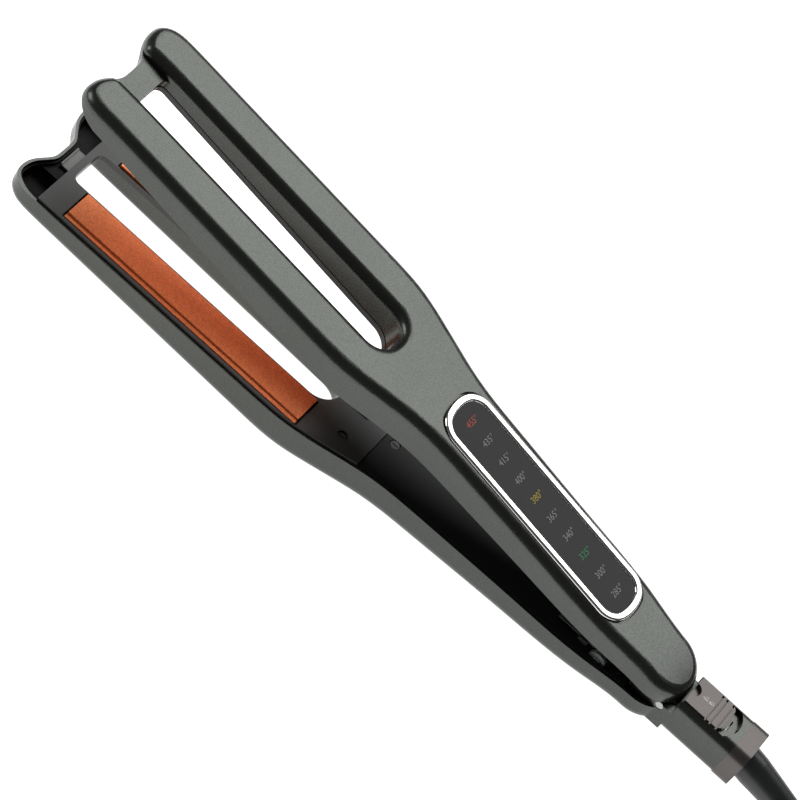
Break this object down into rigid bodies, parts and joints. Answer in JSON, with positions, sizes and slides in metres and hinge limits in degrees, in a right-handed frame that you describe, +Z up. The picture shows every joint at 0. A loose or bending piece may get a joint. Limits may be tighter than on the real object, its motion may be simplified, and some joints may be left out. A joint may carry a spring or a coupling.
{
  "type": "hair styling iron",
  "caption": "Twin-plate hair styling iron: two slotted arms hinged at the tail, floating ceramic plates, temperature panel, sliding lock and swivel mains lead.",
  "frame": {"origin": "on the table under the middle of the iron, its lead left out, with the lower arm lying flat", "axes": "+X from the tips towards the tail and lead, +Z up, +Y to the far side; the arms mirror about Y = 0"},
  "size_m": [0.5304, 0.0728, 0.0663],
  "materials": {
    "casing": "satin metallic gunmetal coat on moulded plastic",
    "plate": "copper and ceramic coat, fine speckle",
    "frame": "moulded heat-proof plastic",
    "cover": "fine matt plastic",
    "heater": "heater in insulating film",
    "silicone": "soft moulded silicone",
    "board": "glass-fibre board",
    "bezel": "polished plating",
    "window": "smoked polycarbonate",
    "lamp": "clear cap lamps",
    "steel": "bright steel",
    "spring": "spring wire",
    "tail": "satin metallic gunmetal coat",
    "slider": "matt moulded plastic",
    "relief": "satin flexible PVC",
    "cord": "satin PVC jacket",
    "plug": "moulded PVC",
    "brass": "stamped blades",
    "wire": "braided glass sleeve"
  },
  "bodies": {
    "lower_arm": {"lower_shell": "casing", "lower_head_frame": "frame", "lower_handle_cover": "cover", "power_board": "board", "lower_wire_loom": "wire", "lower_screws": "steel", "tip_clip": "steel", "hinge_pin": "steel", "spring_spindle": "steel", "opening_spring": "spring", "spring_block": "frame", "tail_housing": "tail", "lock_detent_spring": "spring", "end_collar": "slider", "mains_cord": "cord", "cord_hank": "cord", "cord_tie": "relief", "plug": "plug", "plug_blades": "brass", "lower_cushions_near": "silicone", "lower_cushions_far": "silicone"},
    "upper_arm": {"upper_shell": "casing", "upper_head_frame": "frame", "upper_handle_cover": "cover", "bezel_ring": "bezel", "display_window": "window", "light_guide": "lamp", "control_board": "board", "indicator_lamps": "lamp", "upper_wire_loom": "wire", "upper_screws": "steel", "hinge_bracket": "frame", "upper_cushions_near": "silicone", "upper_cushions_far": "silicone"},
    "lock": {"lock_slider": "slider"},
    "cord_swivel": {"swivel_ball": "relief", "strain_relief": "relief"},
    "upper_plate_near": {"upper_plate_near": "plate", "upper_heater_near": "heater", "upper_thermistor": "heater"},
    "upper_plate_far": {"upper_plate_far": "plate", "upper_heater_far": "heater"},
    "lower_plate_near": {"lower_plate_near": "plate", "lower_heater_near": "heater", "lower_thermistor": "heater"},
    "lower_plate_far": {"lower_plate_far": "plate", "lower_heater_far": "heater", "thermal_fuse": "heater"}
  },
  "joints": [
    {"name": "arm_hinge", "type": "hinge", "parent": "lower_arm", "child": "upper_arm", "pos_m": [0.10301, 0, 0.015], "axis": [0, 1, 0], "range_deg": [-8.8, 0], "stiffness_Nm_per_rad": 0.5, "springref_deg": 42.97},
    {"name": "lock_slide", "type": "slide", "parent": "lower_arm", "child": "lock", "axis": [1, 0, 0], "range_m": [0, 0.003]},
    {"name": "cord_swivel_turn", "type": "hinge", "parent": "lower_arm", "child": "cord_swivel", "pos_m": [0.13101, 0, 0.0145], "axis": [0.9781, 0, -0.2079], "continuous": true},
    {"name": "upper_plate_near_float", "type": "slide", "parent": "upper_arm", "child": "upper_plate_near", "axis": [0.153, 0, 0.9882], "range_m": [0, 0.001], "stiffness_N_per_m": 1500, "springref_m": -0.001, "deforming": ["upper_cushions_near"]},
    {"name": "upper_plate_far_float", "type": "slide", "parent": "upper_arm", "child": "upper_plate_far", "axis": [0.153, 0, 0.9882], "range_m": [0, 0.001], "stiffness_N_per_m": 1500, "springref_m": -0.001, "deforming": ["upper_cushions_far"]},
    {"name": "lower_plate_near_float", "type": "slide", "parent": "lower_arm", "child": "lower_plate_near", "axis": [0, 0, -1], "range_m": [0, 0.001], "stiffness_N_per_m": 1500, "springref_m": -0.001, "deforming": ["lower_cushions_near"]},
    {"name": "lower_plate_far_float", "type": "slide", "parent": "lower_arm", "child": "lower_plate_far", "axis": [0, 0, -1], "range_m": [0, 0.001], "stiffness_N_per_m": 1500, "springref_m": -0.001, "deforming": ["lower_cushions_far"]}
  ]
}
